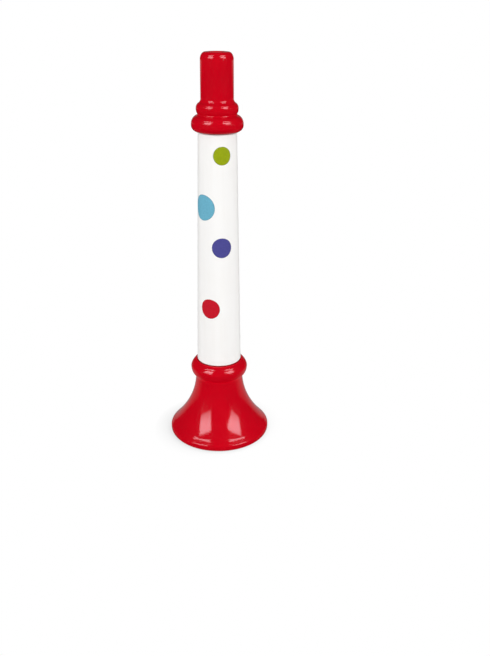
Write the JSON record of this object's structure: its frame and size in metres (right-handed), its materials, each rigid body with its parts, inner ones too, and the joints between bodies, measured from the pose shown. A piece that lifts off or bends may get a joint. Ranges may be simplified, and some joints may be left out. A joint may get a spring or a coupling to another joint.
{
  "type": "toy trumpet",
  "caption": "Wooden toy trumpet standing on its flared red bell, with a tapered white tube, a turned red mouthpiece to blow in and a sprung reed inside that sounds it.",
  "frame": {"origin": "centre of the bell's mouth, on the plane that the rim stands on", "axes": "+Z along the trumpet's axis from the bell to the mouthpiece; +Y the side of the reed that carries the tongue"},
  "size_m": [0.0542, 0.0542, 0.2],
  "materials": {
    "red_lacquer": "high gloss red lacquer on turned beech",
    "white_lacquer": "satin white lacquer on turned beech, with printed dots",
    "ivory_plastic": "moulded ivory plastic",
    "brass": "drawn brass",
    "spring_brass": "rolled spring brass strip",
    "bare_beech": "bare beech"
  },
  "bodies": {
    "trumpet": {"bell": "red_lacquer", "body_tube": "white_lacquer", "mouthpiece": "red_lacquer", "reed_bush": "ivory_plastic", "reed_shallot": "brass", "reed_wedge": "bare_beech"},
    "tongue": {"reed_tongue": "spring_brass"}
  },
  "joints": [
    {"name": "reed_swing", "type": "hinge", "parent": "trumpet", "child": "tongue", "pos_m": [0, 0.00125, 0.1721], "axis": [1, 0, 0], "range_deg": [-2, 2.9], "stiffness_Nm_per_rad": 0.2}
  ]
}
